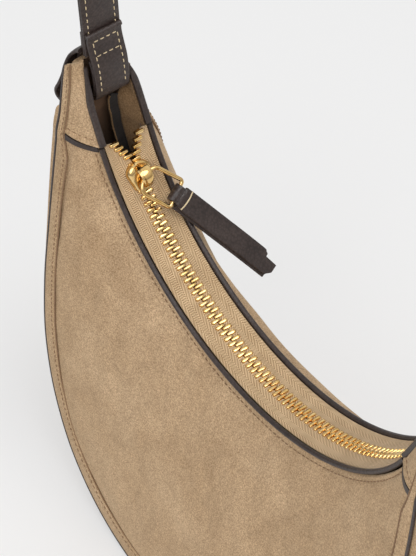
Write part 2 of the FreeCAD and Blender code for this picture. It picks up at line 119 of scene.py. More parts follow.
INLAY_SHARES = (0.02, 0.86)
INLAY_LIFT = 0.7
INLAY_THICK = 1.0

# How far the front flank stands off and the back one draws in towards the tip
LEAN_X = (70.0, 100.0)
FRONT_STAND = 1.8
FRONT_FULL_Y = 10.0
FRONT_RISE_Z = (226.0, 258.0)
BACK_DRAW_SHARE = 0.75
BACK_KEEP_Y = 12.4
BACK_RISE_Z = (190.0, 238.0)
BACK_TIP_DRAW = 3.4
BACK_TIP_LOWER = 2.6
BACK_TIP_FULL_Y = 8.0
BACK_TIP_Z = (236.0, 254.0)

# Border strip, a dark line of painted shade in its seam groove, the painted edge and the gusset's
# lip
STRIP_WIDTH = 6.0
STRIP_WIDEN = 1.1
STRIP_WIDE_Z = (70.0, 195.0)
STRIP_NARROW = 0.55
STRIP_NARROW_Z = (206.0, 226.0)
STRIP_THICK = 1.2
STRIP_LIFT = 0.1
STRIP_STEPS = 421
# Dark line of painted shade along the seam groove: its lift, its reach outward and its radius
GROOVE_SHADE_LIFT = 0.4
GROOVE_SHADE_OUT = 0.75
GROOVE_SHADE_RADIUS = 0.34
EDGE_WIDTH = 1.3
EDGE_THICK = 1.3
EDGE_FORWARD = 0.35
EDGE_GAP = 0.1
LIP_REACH = 5.6
LIP_WIDTH = 1.7
LIP_BEHIND = 1.3
LIP_SINK = 0.2
LIP_LOW_Z = (6.0, 34.0)
LIP_FULL_Z = (110.0, 205.0)
LIP_THIN_SHARE = 0.4
LIP_HIGH_Z = (228.0, 238.0)
LIP_LEAST = 0.02

# Gusset, base, end walls and the facings inside the open ends
GUSSET_SWELL = 2.4
GUSSET_LOW_Z = 0.15
GUSSET_LINING = 0.7
BASE_X = 41.7
BASE_Y = 49.9
BASE_STEPS = 41
WALL_SWELL = 1.6
WALL_LINING = 0.6
WALL_LINING_GAP = 0.1
SLOT_LOW_Z = 235.7
SLOT_HIGH_Z = 238.6
SLOT_LAP = 1.2
SLOT_Y = 8.9
FACING_START = 1.2
FACING_DEPTH = 13.0
FACING_END_GAP = 4.0
FACING_SLOPE = 4.5
FACING_BOW = 1.2
FACING_INSET = 2.6
FACING_THICK = 0.8
FACING_TOP_Z = 242.0
FACING_FLAT_Z = (227.0, 236.0)
FACING_TAPE_Z = 230.0
FACING_TAPE_Y = 2.4
FACING_TAPE_BOX = (0.8, 4.2, 0.3)
FACING_HEM_Y = 2.45
FACING_HEM_BOX = (1.0, 0.6, 0.25)

# Zip
PIPING_RADII = {"front": 1.15, "back": 1.3}
PIPING_CREASE = (0.07, math.pi, 0.35)
TOOTH_PITCH = 3.2
TOOTH_OUT_Y = 3.8
# One tooth from its head to its tail: place across the zip, half length and half height
TOOTH_STATIONS = [
    (-0.9, 0.40, 0.70), (-0.75, 0.60, 1.05), (-0.2, 0.74, 1.28), (0.6, 0.74, 1.30),
    (1.0, 0.84, 1.30), (1.6, 0.96, 1.32), (2.6, 0.98, 1.34), (3.1, 0.94, 1.28),
    (3.4, 0.80, 1.08), (3.5, 0.50, 0.80),
]
TOOTH_ROUND = 0.75
TAPE_THICK = 0.7
TAPE_SAG = 0.45
TAPE_IN_Y = 3.9
TAPE_OUT_Y = 10.5
TAPE_END_Y = 10.2
TAPE_UNDER_TEETH = 2.6
CLOSED_ANGLE = -62.5
CHAIN_END_ANGLE = 63.5
OPEN_TEETH = 4
OPEN_STEP_SHARE = 0.84
STOP_X = 1.5
STOP_Y = 4.5
STOP_BOX = (3.0, 3.2, 0.6)

# Slider, ring and pull tab
SLIDER_ANGLE = -58.6
SLIDER_HALF = 6.8
SLIDER_Y = 6.3
SLIDER_NOSE_Y = 4.3
SLIDER_TOP = 3.2
SLIDER_RIM = 0.3
SLIDER_WALL = 0.5
SLOT_HALF = 0.65
CHANNEL_Y = 4.2
CHANNEL_HALF = 1.7
HOOD_X = [-SLIDER_HALF, -5.0, -3.0, 0.5, SLIDER_HALF]
HOOD_HEIGHT = [0, 1.5, 1.6, 0.6, 0]
UNDER_CROWN = 0.3
CROWN_BOW = 1.2
BULLET_X = -5.9
BULLET_LENGTH = 3.4
BULLET_FOOT = 2.0
BULLET_LOW = 2.4
BULLET_RISE = 5.9
BULLET_HALF = 2.95
BRIDGE_HALF = 4.8
BRIDGE_FOOT = 2.6
BRIDGE_RISE = 6.2
BRIDGE_STEPS = 41
PULL_YAW = 39.0
PULL_TILT = 4.5
BAR_OFFSET = 0.9
BAR_Z = 5.75
WIRE_RADIUS = 0.95
RING_WIDTH = 13.1
RING_LENGTH = 16.6
RING_NEAR_RADIUS = 4.2
RING_CORNER_RADIUS = 1.5
TAB_WIDTH = 10.0
TAB_END = 62.6
TAB_START = 2.7
TAB_SKEW = 9.0
TAB_LAYER = 1.3
TAB_LAYER_GAP = 0.08
# The two layers: level of the outer face, far end, and the edge on the low side
TAB_LAYERS = ((1.2, TAB_END - 0.5, -4.5), (-0.15, TAB_END, -5.6))
TAB_HIGH_Y = 4.5
# The stepped end: how much is cut away, on which side, and between which places across the tab
TAB_CUTS = ((7.2, 1, (1.8, 2.3)), (1.6, 1, (3.4, 4.5)), (2.6, -1, (1.8, 4.8)))
TAB_RIPPLE = 0.10
TAB_RIPPLE_STEP = 0.19
TAB_DROOP = 0.0009
FOLD_RADIUS = 2.0
FOLD_FROM = [(5.2, 0, 1.8), (2.8, 0, 1.9)]
FOLD_TO = [(2.8, 0, -1.9), (5.6, 0, -2.0), (8.4, 0, -2.0)]
RAW_EDGE_X = 5.5
RAW_EDGE_BOW = 0.03
RAW_EDGE_Y = 4.8
RAW_EDGE_Z = 1.85
RAW_EDGE_BOX = (0.9, 1.35, 0.3, 2)

# Strap and loops
STRAP_WIDTH = 18.0
STRAP_LAYER = 1.1
STRAP_OFFSET = 0.6
STRAP_X = 112.4
STRAP_FOOT_Z = 260.6
STRAP_BEND_Z = 356.2
STRAP_STITCH_Y = 6.6
LOOP_BOX = (1.6, 17.0, 0.6)
LOOP_THICK, LOOP_WIDTH = LOOP_BOX[:2]
LOOP_STITCH_Y = 6.0
# Distances down the loop: top and foot of the box of stitches, and the end of the rows
LOOP_STITCH_STOPS = (2.6, 9.6, 29.0)
LOOP_ROLL_X = 110.2
LOOP_ROLL_Z = 271.6
LOOP_ROLL_RADIUS = 1.25
LOOP_ROUTE = [
    (110.2, 271.3), (110.15, 268.0), (108.9, 262.5), (107.3, 256.5), (106.8, 249.5),
    (106.9, 243.5), (108.2, 239.2), (111.0, 237.3), (115.0, 236.9), (118.2, 237.2),
    (119.6, 239.5), (120.0, 245.0), (119.8, 253.0), (118.0, 258.0), (116.2, 260.0),
    (115.1, 261.8), (114.65, 265.0), (114.6, 271.6),
]
BACKING_ROUTE = [(110.4, 258.4), (109.0, 255.0), (108.4, 249.5), (108.4, 244.5), (109.4, 240.4)]
# The outer leg's cover: x, z and half width
PATCH_ROUTE = [
    (115.6, 263.2, 8.6), (118.6, 261.0, 8.8), (121.4, 257.6, 10.0), (122.9, 252.6, 12.0),
    (123.0, 247.5, 14.2), (123.8, 243.0, 16.4), (125.4, 238.8, 17.6), (125.2, 234.8, 17.6),
    (122.0, 232.2, 17.0),
]
PATCH_CURL = 0.8

# Stitches: pitch, length and radius of a thread
SUEDE_STITCH = (2.9, 2.0, 0.22)
STRAP_STITCH = (3.4, 2.2, 0.24)
STITCH_PROUD = 0.12
STITCH_DIVE = 0.35


def add_object(name, data):
    obj = bpy.data.objects.new(name, data)
    bpy.context.collection.objects.link(obj)
    return obj


def at(angle, r, y):
    # A point at an angle round the zip's centre, from straight below it
    turn = np.radians(angle)
    return np.stack([r * np.sin(turn), y + 0 * turn, ARC_Z - r * np.cos(turn)], axis=-1)


def unit(v):
    return v / np.maximum(np.linalg.norm(v, axis=-1, keepdims=True), 1e-9)


def distances(path):
    # Length along a path, from its start to each point
    steps = np.linalg.norm(np.diff(path, axis=0), axis=1)
    return np.concatenate([[0.0], np.cumsum(steps)])


def smooth(table, count):
    # A cubic through the rows of a table, at even steps of its length
    table = np.asarray(table, float)
    s = distances(table)
    slope = np.gradient(table, s, axis=0)
    x = np.linspace(0, s[-1], count)
    i = np.clip(np.searchsorted(s, x, side="right") - 1, 0, len(s) - 2)
    h = (s[i + 1] - s[i])[:, None]
    t = ((x - s[i]) / (s[i + 1] - s[i]))[:, None]
    a = (2 * t ** 3 - 3 * t ** 2 + 1) * table[i] + (t ** 3 - 2 * t ** 2 + t) * h * slope[i]
    return a + (3 * t ** 2 - 2 * t ** 3) * table[i + 1] + (t ** 3 - t ** 2) * h * slope[i + 1]


def ease(value, limits):
    t = np.clip((value - limits[0]) / (limits[1] - limits[0]), 0, 1)
    return t * t * (3 - 2 * t)


def ridge(distance, height, place, width):
    return height * np.exp(-((distance - place) / width) ** 2)


def turned(a, b, degrees):
    # Two coordinates turned by an angle, the first towards the second
    t = math.radians(degrees)
    return a * math.cos(t) - b * math.sin(t), a * math.sin(t) + b * math.cos(t)


# A row is one cross-section of a wall: rim end (x, z, y), then outer end (x, z, y)
def panel_rows():
    half = []
    for along, up, deep in EDGE_SHARES:
        z = EDGE_LIFT + up * (ARC_Z - EDGE_LIFT)
        y = SEAM_HALF_DEPTH + deep * (BASE_HALF_DEPTH - SEAM_HALF_DEPTH)
        half.append((along * HALF_LENGTH, z, y))
    left = [(-x, z, y) for x, z, y in half[:0:-1]]
    outer = smooth(left + half, COLUMNS)
    angle = np.degrees(np.arctan2(outer[:, 0], ARC_Z - outer[:, 1]))
    rim = at(angle * SEAM_ANGLE / angle[-1], PANEL_TOP_R, PANEL_TOP_Y)
    return np.concatenate([rim[:, [0, 2, 1]], outer], axis=1)


def horn_rows():
    seam_x, seam_z, seam_y = panel_rows()[-1][3:]
    foot = at(HORN_FOOT_ANGLE, ZIP_RADIUS, 0.0)
    foot_z = seam_z + 2 * GAP
    rows = []
    for up, inward, y0 in HORN_SHARES:
        x0 = foot[0] + inward * (WALL_X - foot[0])
        z0 = foot[2] + up * (ARC_Z + HORN_TIP_RISE - foot[2])
        x1 = WALL_X if up > 0 else seam_x
        z1 = foot_z + up * (ARC_Z - HORN_TIP_DROP - foot_z)
        y1 = seam_y + up * (HORN_TIP_Y - seam_y)
        rows.append((x0, z0, y0, x1, z1, y1))
    return smooth(rows, HORN_COLUMNS)


def row_points(rows, along, y):
    # Points in the rows' planes, a share of the way from the rim end to the outer end
    x, z = [rows[:, None, k] + along * (rows[:, None, k + 3] - rows[:, None, k]) for k in (0, 1)]
    return np.stack([x, y + 0 * x, z], axis=-1)


def row_lengths(rows):
    return np.hypot(rows[:, 3] - rows[:, 0], rows[:, 4] - rows[:, 1])


def wall_points(rows, shares):
    # Points on the bend between the rim and the outer edge, one column for each row of the table
    s = np.atleast_2d(shares)
    a = (1 - s) ** 2
    b = 2 * s * (1 - s)
    c = s ** 2
    y0 = rows[:, None, 2]
    y1 = rows[:, None, 5]
    y = a * y0 + b * (y0 + BEND_Y_SHARE * (y1 - y0)) + c * y1
    return row_points(rows, b * BEND_R_SHARE + c, y)


def share_above(rows, above):
    # Share of the bend that lies a given distance short of the outer edge
    part = 1 - above / row_lengths(rows)
    k = 2 * BEND_R_SHARE
    return (np.sqrt(k * k + 4 * (1 - k) * part) - k) / (2 * (1 - k))


def settle(points):
    # The soft horns lean: the front flank stands off the strap, the back one draws in
    out = points.copy()
    y = points[..., 1]
    z = points[..., 2]
    at_end = ease(np.abs(points[..., 0]), LEAN_X)
    tip = ease(z, BACK_TIP_Z)
    front = FRONT_STAND * np.clip(-y / FRONT_FULL_Y, 0, 1) * ease(z, FRONT_RISE_Z)
    keep = BACK_KEEP_Y - BACK_TIP_DRAW * tip
    back = BACK_DRAW_SHARE * np.maximum(y - keep, 0) * ease(z, BACK_RISE_Z)
    out[..., 1] -= at_end * (front + back)
    out[..., 2] -= at_end * BACK_TIP_LOWER * np.clip(y / BACK_TIP_FULL_Y, 0, 1) * tip
    return out


def flip(points, side, end=1):
    # Mirrors points from the back right quarter to the asked side and end
    return settle(points * (end, side, 1.0))


def edge_line(rows, past, y, side, end=1):
    # A line along the rows, at a share of their length that may lie past an end
    return flip(row_points(rows, past[:, None], y[:, None])[:, 0], side, end)


def normals(grid, outward):
    n = unit(np.cross(np.gradient(grid, axis=0), np.gradient(grid, axis=1)))
    sign = np.sign(np.sum(n * np.asarray(outward, float)))
    return n * sign


def wavy(grid, normal, amount, size):
    out = grid.copy()
    for i, j in np.ndindex(grid.shape[:2]):
        out[i, j] += normal[i, j] * amount * noise.noise(Vector(grid[i, j] / size))
    return out


def from_start(grid):
    # Distance of each grid point from the start of its column
    return np.array([distances(column) for column in grid])


def line_at(grid, down, distance):
    # The line on a sheet at a given distance from its start
    return np.array([[np.interp(distance, d, column[:, k]) for k in range(3)]
                     for column, d in zip(grid, down)])


def ribbon(outer, normal, thickness, rounds):
    # Sections of a sheet with round long edges, from the grid of its outer face
    half = thickness / 2
    mid_a = outer[:, :1] - normal[:, :1] * half
    mid_b = outer[:, -1:] - normal[:, -1:] * half
    out_a = unit(outer[:, :1] - outer[:, 1:2])
    out_b = unit(outer[:, -1:] - outer[:, -2:-1])
    t = np.linspace(0, math.pi, rounds + 2)[1:-1][None, :, None]
    end_a = mid_a - half * (np.cos(t) * normal[:, :1] - np.sin(t) * out_a)
    end_b = mid_b + half * (np.cos(t) * normal[:, -1:] + np.sin(t) * out_b)
    inner = outer - normal * thickness
    return np.concatenate([outer, end_b, inner[:, ::-1], end_a], axis=1)


def loft_faces(n, k, closed):
    faces = []
    for i in range(n if closed else n - 1):
        a = i * k
        b = (i + 1) % n * k
        faces += [(a + j, a + (j + 1) % k, b + (j + 1) % k, b + j) for j in range(k)]
    if not closed:
        faces += [tuple(range(k))[::-1], tuple(range((n - 1) * k, n * k))]
    return faces


def sheet_caps(n, k, columns):
    # End faces of a sheet as narrow strips, since the ends may be stepped or bent
    rounds = (k - 2 * columns) // 2
    last = k - rounds - 1
    strips = [(j, j + 1, last - 1 - j, last - j) for j in range(columns - 1)]
    strips.append(tuple(range(columns - 1, columns + rounds + 1)))
    strips.append(tuple(range(last, k)) + (0,))
    end = (n - 1) * k
    return [f[::-1] for f in strips] + [tuple(end + i for i in f) for f in strips]


class Mesh:
    """Vertices in millimetres, faces, and a flat coordinate for woven patterns."""

    def __init__(self):
        self.verts = []
        self.faces = []
        self.flat = []
        self.count = 0

    def loft(self, sections, closed=False, columns=0):
        n, k = sections.shape[:2]
        faces = loft_faces(n, k, closed)
        if columns:
            faces = faces[:-2] + sheet_caps(n, k, columns)
        u = distances(sections[:, 0])
        v = distances(sections[n // 2])
        self.verts.append(sections.reshape(-1, 3))
        self.faces += [tuple(self.count + i for i in f) for f in faces]
        self.flat.append(np.stack(np.meshgrid(u, v, indexing="ij"), axis=-1).reshape(-1, 2))
        self.count += n * k
        return self

    def bar(self, path, profile, up=ALONG_Y):
        return self.loft(sweep(path, up, profile))

    def sheet(self, outer, outward, thickness, rounds=3):
        sections = ribbon(outer, normals(outer, outward), thickness, rounds)
        return self.loft(sections, columns=outer.shape[1])

    def stitch(self, path, normal, sizes=SUEDE_STITCH):
        # Short bent threads along a path, their ends dipping into the material
        pitch, length, radius = sizes
        s = distances(path)
        x = np.linspace(0, s[-1], max(2, int(round(s[-1] / pitch)) + 1))
        fine, up = [np.stack([np.interp(x, s, line[:, k]) for k in range(3)], axis=1)
                    for line in (path, normal)]
        along = unit(np.gradient(fine, axis=0))
        ring = circle(1.0, 6)
        stations = np.linspace(-1, 1, 7)
        swell = radius * np.sqrt(np.maximum(0.06, 1 - stations ** 4))[:, None, None]
        height = STITCH_PROUD - STITCH_DIVE * stations ** 4
        for p, n, a in zip((fine[:-1] + fine[1:]) / 2, unit(up), along):
            across = unit(np.cross(n, a))
            line = p + np.outer(stations * length / 2, a) + np.outer(height, n)
            self.loft(line[:, None] + swell * (ring[None, :, :1] * across + ring[None, :, 1:] * n))
        return self

    def piece(self, name, material, *nodes, body="bag", sharp=40.0):
        mesh = bpy.data.meshes.new(name)
        mesh.from_pydata((np.concatenate(self.verts) * MM).tolist(), [], self.faces)
        flat = mesh.attributes.new("flat", "FLOAT_VECTOR", "POINT")
        woven = np.pad(np.concatenate(self.flat), ((0, 0), (0, 1)))
        flat.data.foreach_set("vector", woven.ravel())
        work = bmesh.new()
        work.from_mesh(mesh)
        bmesh.ops.recalc_face_normals(work, faces=work.faces)
        work.to_mesh(mesh)
        work.free()
        mesh.shade_smooth()
        mesh.set_sharp_from_angle(angle=math.radians(sharp))
        mesh.materials.append(material)
        obj = add_object(name, mesh)
        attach(obj, body)
        if nodes:
            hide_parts(*nodes)


def frames(path, up):
    # Directions across a path and up from it
    along = unit(np.gradient(path, axis=0))
    across = unit(np.cross(np.broadcast_to(np.asarray(up, float), path.shape), along))
    return across, unit(np.cross(along, across))


def sweep(path, up, profile):
    # Sections along a path, of one profile or of one for each point
    across, lift = frames(path, up)
    p = np.broadcast_to(profile, (len(path),) + np.shape(profile)[-2:])
    return path[:, None] + p[..., :1] * across[:, None] + p[..., 1:] * lift[:, None]


def rounded_box(width, height, radius, steps=3):
    # Profile of a bar with round corners, about its middle
    points = []
    for sx, sy, a0 in ((1, -1, -90), (1, 1, 0), (-1, 1, 90), (-1, -1, 180)):
        cx = sx * (width / 2 - radius)
        cy = sy * (height / 2 - radius)
        for t in np.radians(np.linspace(a0, a0 + 90, steps + 1)):
            points.append((cx + radius * math.cos(t), cy + radius * math.sin(t)))
    return np.array(points)


def circle(radius, sides):
    turns = np.linspace(0, 2 * math.pi, sides, endpoint=False)
    return radius * np.stack([np.cos(turns), np.sin(turns)], axis=1)


# Materials

def rgb(r, g, b):
    # A colour as seen on screen, to the renderer's linear values
    shares = [c / 255 for c in (r, g, b)]
    line = [c / 12.92 if c <= 0.04045 else ((c + 0.055) / 1.055) ** 2.4 for c in shares]
    return (*line, 1.0)


WHITE = rgb(255, 255, 255)


class Shader:
    """The nodes of a material or of the world, with short calls to add them."""

    def __init__(self, name, store=bpy.data.materials):
        self.owner = store.new(name)
        self.owner.use_nodes = True
        self.tree = self.owner.node_tree

    def give(self, socket, value):
        # A plain value or a link, by what the value is
        if isinstance(value, (int, float, tuple)):
            socket.default_value = value
        else:
            self.tree.links.new(value, socket)

    def node(self, kind, inputs=(), **values):
        n = self.tree.nodes.new("ShaderNode" + kind)
        for key, value in values.items():
            setattr(n, key, value)
        for key, value in dict(inputs).items():
            self.give(n.inputs[key], value)
        return n

    def place(self, stretch=(1, 1, 1)):
        coords = self.node("TexCoord").outputs["Object"]
        return self.node("Mapping", {"Vector": coords, "Scale": stretch}).outputs["Vector"]

    def noise(self, scale, detail, rough, stretch=(1, 1, 1), distortion=0.0):
        return self.node("TexNoise", {
            "Vector": self.place(stretch), "Scale": scale, "Detail": detail, "Roughness": rough,
            "Distortion": distortion}).outputs["Fac"]

    def cells(self, scale):
        inputs = {"Vector": self.place(), "Scale": scale, "Smoothness": 0.35}
        return self.node("TexVoronoi", inputs, feature="SMOOTH_F1").outputs["Distance"]

    def math(self, operation, *values):
        return self.node("Math", enumerate(values), operation=operation).outputs[0]

    def wave(self, value, length):
        return self.math("SINE", self.math("MULTIPLY", value, 2 * math.pi / length))

    def ramp(self, value, *stops):
        n = self.node("ValToRGB", {"Fac": value})
        for element, (place, colour) in zip(n.color_ramp.elements, stops):
            element.position = place
            element.color = colour
        return n.outputs["Color"]

    def mix(self, fac, a, b, blend="MIX"):
        n = self.node("Mix", {0: fac, 6: a, 7: b}, data_type="RGBA", blend_type=blend)
        return n.outputs[2]

    def bump(self, height, strength, distance, below=None):
        inputs = {"Height": height, "Strength": strength, "Distance": distance}
        if below is not None:
            inputs["Normal"] = below
        return self.node("Bump", inputs).outputs["Normal"]

    def set(self, main="Principled BSDF", **values):
        for key, value in values.items():
            self.give(self.tree.nodes[main].inputs[key.replace("_", " ")], value)
        return self.owner


def suede(name, light, dark):
    s = Shader(name)
    cloud = s.noise(26, 4, 0.6, distortion=0.6)
    brush = s.noise(95, 5, 0.65, stretch=(1.0, 1.0, 0.45), distortion=0.8)
    grain = s.noise(1500, 3, 0.7)
    base = s.ramp(cloud, (0.25, dark), (0.78, light))
    strokes = s.ramp(brush, (0.30, rgb(226, 226, 226)), (0.70, WHITE))
    fibres = s.ramp(grain, (0.36, rgb(172, 162, 150)), (0.64, WHITE))
    colour = s.mix(0.75, base, strokes, "MULTIPLY")
    colour = s.mix(0.85, colour, fibres, "MULTIPLY")
    soft = s.bump(brush, 0.25, 0.0012)
    fine = s.bump(grain, 0.45, 0.0005, soft)
    return s.set(Base_Color=colour, Roughness=0.95, Normal=fine, Sheen_Weight=0.28,
                 Sheen_Roughness=0.45, Sheen_Tint=rgb(245, 226, 196), Specular_IOR_Level=0.12)


def leather(name, light, dark, rough):
    s = Shader(name)
    cloud = s.noise(45, 3, 0.6)
    pebble = s.cells(850)
    pores = s.noise(3200, 2, 0.6)
    colour = s.ramp(cloud, (0.3, dark), (0.75, light))
    crease = s.ramp(pebble, (0.25, WHITE), (0.75, rgb(178, 174, 172)))
    colour = s.mix(0.7, colour, crease, "MULTIPLY")
    gloss = s.math("ADD", s.math("MULTIPLY", cloud, 0.16), rough - 0.08)
    low = s.bump(pebble, 0.35, -0.0004)
    fine = s.bump(pores, 0.2, 0.00015, low)
    return s.set(Base_Color=colour, Roughness=gloss, Normal=fine, Specular_IOR_Level=0.42)


def gold(name):
    s = Shader(name)
    smear = s.noise(240, 3, 0.6)
    fine = s.bump(s.noise(2600, 2, 0.5), 0.04, 0.0001)
    colour = s.ramp(smear, (0.3, rgb(216, 174, 104)), (0.75, rgb(241, 210, 152)))
    gloss = s.math("ADD", s.math("MULTIPLY", smear, 0.08), 0.09)
    return s.set(Base_Color=colour, Metallic=1.0, Roughness=gloss, Normal=fine)


def flat_coords(s):
    flat = s.node("Attribute", attribute_name="flat").outputs["Vector"]
    split = s.node("SeparateXYZ", {0: flat})
    return split.outputs["X"], split.outputs["Y"]


def herringbone(name, light, dark, band, line):
    # Slanted threads whose slope turns over at each band across the tape
    s = Shader(name)
    u, v = flat_coords(s)
    fold = s.math("PINGPONG", v, band)
    slant = s.math("ADD", u, s.math("MULTIPLY", fold, 1.15))
    height = s.math("MULTIPLY_ADD", s.wave(slant, line), 0.5, 0.5)
    weft = s.wave(v, line * 0.8)
    colour = s.ramp(height, (0.15, dark), (0.75, light))
    shade = s.ramp(s.noise(120, 3, 0.6), (0.3, rgb(226, 222, 216)), (0.7, WHITE))
    colour = s.mix(0.8, colour, shade, "MULTIPLY")
    low = s.bump(height, 0.7, 0.0003)
    fine = s.bump(weft, 0.15, 0.0001, low)
    return s.set(Base_Color=colour, Roughness=0.8, Normal=fine, Sheen_Weight=0.12,
                 Specular_IOR_Level=0.25)


def twill(name, light, dark, line):
    s = Shader(name)
    u, v = flat_coords(s)
    height = s.math("MULTIPLY_ADD", s.wave(s.math("ADD", u, v), line), 0.5, 0.5)
    colour = s.mix(s.math("MULTIPLY", height, 0.6), dark, light)
    shade = s.ramp(s.noise(60, 3, 0.6), (0.3, rgb(215, 212, 208)), (0.7, WHITE))
    colour = s.mix(0.8, colour, shade, "MULTIPLY")
    fine = s.bump(height, 0.5, 0.0002)
    return s.set(Base_Color=colour, Roughness=0.75, Normal=fine, Sheen_Weight=0.1)


def thread(name, light, dark):
    s = Shader(name)
    twist = s.noise(1800, 2, 0.6)
    colour = s.ramp(twist, (0.3, dark), (0.7, light))
    fine = s.bump(twist, 0.4, 0.0002)
    return s.set(Base_Color=colour, Roughness=0.7, Normal=fine, Sheen_Weight=0.1)


def fibreboard(name):
    s = Shader(name)
    speck = s.noise(900, 4, 0.7)
    colour = s.ramp(speck, (0.3, rgb(96, 80, 64)), (0.7, rgb(142, 122, 98)))
    return s.set(Base_Color=colour, Roughness=0.85, Normal=s.bump(speck, 0.3, 0.0003))


SUEDE = suede("suede", rgb(230, 199, 162), rgb(200, 168, 131))
LEATHER = leather("dark_leather", rgb(70, 58, 54), rgb(50, 40, 37), 0.44)
EDGE_PAINT = leather("edge_paint", rgb(64, 52, 48), rgb(50, 40, 37), 0.40)
GOLD = gold("gold_metal")
TAPE = herringbone("zip_tape", rgb(242, 213, 171), rgb(150, 114, 77), 2.5, 1.05)
LINING = twill("lining", rgb(132, 98, 68), rgb(94, 68, 46), 0.9)
CREAM = thread("cream_thread", rgb(226, 208, 172), rgb(190, 166, 126))
TONAL = thread("tonal_thread", rgb(150, 118, 84), rgb(116, 88, 60))
# A darker copy of the suede for the facings inside the ends: painted shade of the bag's insides
SHADED_FACING = suede("facing_suede_painted_shade", rgb(158, 128, 94), rgb(136, 108, 78))
# Near-black tape in the inner corner of each end: a seam tape, with its tone partly painted shade
# of the corner
SEAM_TAPE_AND_CORNER_SHADE = twill("seam_tape_and_corner_shade", rgb(36, 28, 25), rgb(22, 17, 15), 0.9)
FOLD_LEATHER = leather("fold_leather", rgb(70, 58, 54), rgb(50, 40, 37), 0.30)
BOARD = fibreboard("board")


# Panels: one soft bent sheet each, drawn in along the sewn lines
def make_panels():
    rows = panel_rows()
    for name, side in SIDES:
        out = (0, side, 0)
        grid = flip(wall_points(rows, np.linspace(0, 1, ROWS)), side)
        n = normals(grid, out)
        down = from_start(grid)
        puff = ridge(down, *RIM_DIP) + ridge(down[:, -1:] - down, *STRIP_DIP)
        puff = puff + ridge(down, *RIM_ROLL)
        if side > 0:
            middle = 1 - ease(np.abs(grid[..., 0]), BACK_BULGE_X)
            puff = puff + middle * ridge(down, *BACK_BULGE)
        grid = wavy(grid + n * puff[..., None], n, *PANEL_WAVES)
        n = normals(grid, out)
        panel = Mesh().sheet(grid, out, PANEL_THICK)
        panel.piece(name + "_panel_suede", SUEDE, name + "_panel")
        above = line_at(n, down, RIM_STITCH)
        line = line_at(grid, down, RIM_STITCH) + above * RIM_STITCH_LIFT
        Mesh().stitch(line, above).piece(name + "_rim_stitches", TONAL)
        make_lining(name, side, grid, n)


def make_lining(name, side, grid, n):
    # The lining, and on the inside of the back one a pocket with a hem
    out = (0, side, 0)
    inset = PANEL_THICK + GAP
    lining = Mesh().sheet(grid[:, 1:-3] - n[:, 1:-3] * inset, out, LINING_THICK)
    lining.piece(name + "_lining_cloth", LINING, name + "_lining")
    if side > 0:
        middle = COLUMNS // 2
        wide = slice(middle - POCKET_COLUMNS, middle + POCKET_COLUMNS + 1)
        part = (wide, slice(*POCKET_ROWS))
        grid, n = grid[part], n[part]
        cloth = grid - n * (inset + LINING_THICK + GAP)
        pocket = Mesh().sheet(cloth, out, LINING_THICK)
        hem = cloth[:, 0] - n[:, 0] * LINING_THICK / 2
        pocket.bar(hem, rounded_box(*POCKET_HEM))
        pocket.piece("inner_pocket_cloth", LINING, "inner_pocket")


def make_horns():
    rows = horn_rows()
    for end_name, end in ENDS:
        for name, side in SIDES:
            label = name + "_" + end_name
            out = (0, side, 0)
            grid = flip(wall_points(rows, np.linspace(0, 1, HORN_ROWS)), side, end)
            n = normals(grid, out)
            down = from_start(grid)
            foot = np.linspace(0, HORN_HEIGHT, len(grid))[:, None]
            puff = ridge(foot, *HORN_DIP) + ridge(foot, *HORN_FOLD) + ridge(down, *HORN_ROLL)
            grid = wavy(grid + n * puff[..., None], n, *HORN_WAVES)
            n = normals(grid, out)
            horn = Mesh().sheet(grid, out, HORN_THICK)
            horn.piece(label + "_horn_suede", SUEDE, label + "_horn")
            seam = int(round(HORN_STITCH / HORN_HEIGHT * (len(grid) - 1)))
            stitches = Mesh().stitch(grid[seam, 2:-6], n[seam, 2:-6])
            if side > 0:
                inner = line_at(grid - n * HORN_THICK, down, INNER_STITCH)[2:-8]
                stitches.stitch(inner, line_at(-n, down, INNER_STITCH)[2:-8])
            stitches.piece(label + "_horn_stitches", TONAL)
            make_horn_binding(label, side, end, rows)
            make_seam_band(label, side, end)


def make_horn_binding(label, side, end, rows):
    # Leather folded over the horn's inner edge, slimmer towards the strap
    rows = rows[:-3]
    past = -BINDING_PAST / row_lengths(rows)
    path = edge_line(rows, past, rows[:, 2] - HORN_THICK / 2, side, end)
    path[0] += (path[1] - path[0]) * BINDING_START
    rise = rows[:, 1] - rows[:, 4]
    up = unit(np.stack([(rows[:, 0] - rows[:, 3]) * end, 0 * rise, rise], axis=1))
    slim = 1 - BINDING_SLIM * ease(rows[:, 1], BINDING_SLIM_Z)
    profile = rounded_box(*BINDING_BOX)
    groove = ridge(profile[:, :1], *BINDING_GROOVE)
    profile = profile * (1 - groove * (profile[:, 1:] > 0))
    binding = Mesh().loft(sweep(path, up, profile * slim[:, None, None]))
    binding.piece(label + "_horn_binding_leather", LEATHER, label + "_horn_binding")


def make_seam_band(label, side, end):
    # Flat leather inlay under the horn's folded edge
    out = (0, side, 0)
    rows = panel_rows()
    rows = rows[-1] + np.linspace(-0.2, 1.0, 4)[:, None] * (rows[-2] - rows[-1])
    grid = flip(wall_points(rows, np.linspace(*INLAY_SHARES, 26)), side, end)
    band = Mesh().sheet(grid + normals(grid, out) * INLAY_LIFT, out, INLAY_THICK)
    band.piece(label + "_seam_inlay", LEATHER)


def whole_edge():
    # Grid of the strip along the outer edge from horn tip to horn tip, and its rows
    horn = horn_rows()
    left = horn[::-1].copy()
    left[:, [0, 3]] *= -1
    rows = smooth(np.concatenate([left, panel_rows()[3:-3], horn]), STRIP_STEPS)
    z = rows[:, 4]
    share = 1 - STRIP_NARROW * ease(z, STRIP_NARROW_Z) + STRIP_WIDEN * (1 - ease(z, STRIP_WIDE_Z))
    start = share_above(rows, np.minimum(STRIP_WIDTH * share, row_lengths(rows) / 3))[:, None]
    return wall_points(rows, start + (1 - start) * np.linspace(0, 1, 9)), rows


